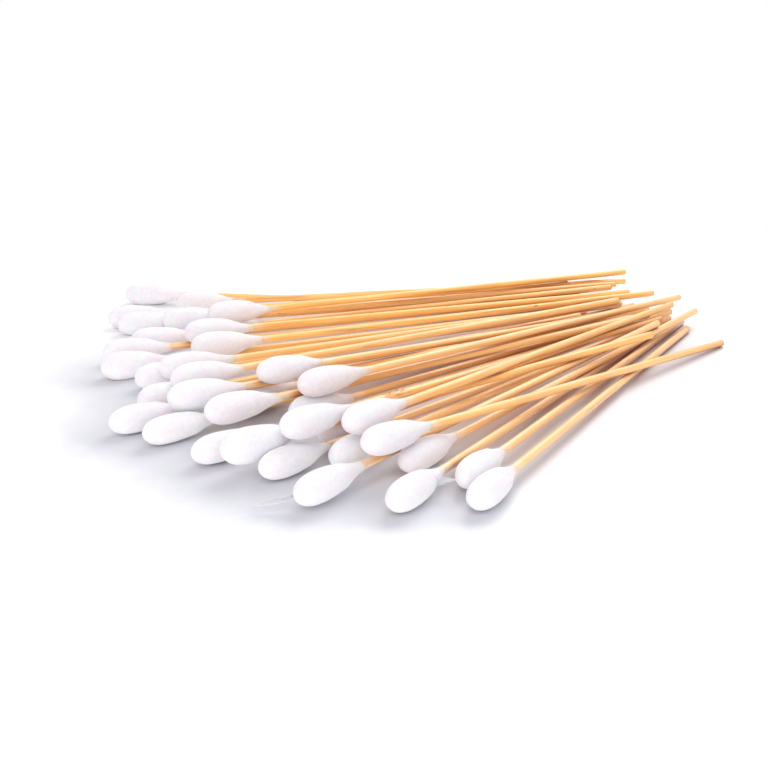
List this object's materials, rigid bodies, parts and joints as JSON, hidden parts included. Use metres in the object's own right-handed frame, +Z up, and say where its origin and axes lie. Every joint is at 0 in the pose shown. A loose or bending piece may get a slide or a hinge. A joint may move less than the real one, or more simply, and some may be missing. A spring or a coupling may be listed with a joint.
{
  "type": "fanned bundle of cotton swabs",
  "caption": "Loose fan of long single-ended swabs: teardrop cotton buds wound on thin round wooden sticks, resting on the floor and on each other.",
  "frame": {"origin": "middle of the bundle's footprint, on the floor it rests on", "axes": "+X along the sheaf of sticks from the buds towards the cut ends, +Y towards the side where the outermost swab fans out widest, +Z up"},
  "size_m": [0.1968, 0.1956, 0.0149],
  "materials": {
    "wood": "bare pale wood, smooth",
    "cotton": "wound cotton fibre, soft and matt"
  },
  "bodies": {
    "root": {"stick_01": "wood", "stick_02": "wood", "stick_03": "wood", "stick_04": "wood", "stick_05": "wood", "stick_06": "wood", "stick_07": "wood", "stick_08": "wood", "stick_09": "wood", "stick_10": "wood", "stick_11": "wood", "stick_12": "wood", "stick_13": "wood", "stick_14": "wood", "stick_15": "wood", "stick_16": "wood", "stick_17": "wood", "stick_26": "wood", "stick_27": "wood", "stick_28": "wood", "stick_29": "wood", "stick_30": "wood", "stick_31": "wood", "stick_32": "wood", "stick_33": "wood", "stick_34": "wood", "stick_35": "wood", "stick_36": "wood", "stick_37": "wood", "bud_01": "cotton", "bud_02": "cotton", "bud_03": "cotton", "bud_04": "cotton", "bud_05": "cotton", "bud_06": "cotton", "bud_07": "cotton", "bud_08": "cotton", "bud_09": "cotton", "bud_10": "cotton", "bud_11": "cotton", "bud_12": "cotton", "bud_13": "cotton", "bud_14": "cotton", "bud_15": "cotton", "bud_16": "cotton", "bud_17": "cotton", "bud_26": "cotton", "bud_27": "cotton", "bud_28": "cotton", "bud_29": "cotton", "bud_30": "cotton", "bud_31": "cotton", "bud_32": "cotton", "bud_33": "cotton", "bud_34": "cotton", "bud_35": "cotton", "bud_36": "cotton", "bud_37": "cotton", "covered_sticks": "wood", "covered_buds": "cotton"}
  },
  "joints": []
}
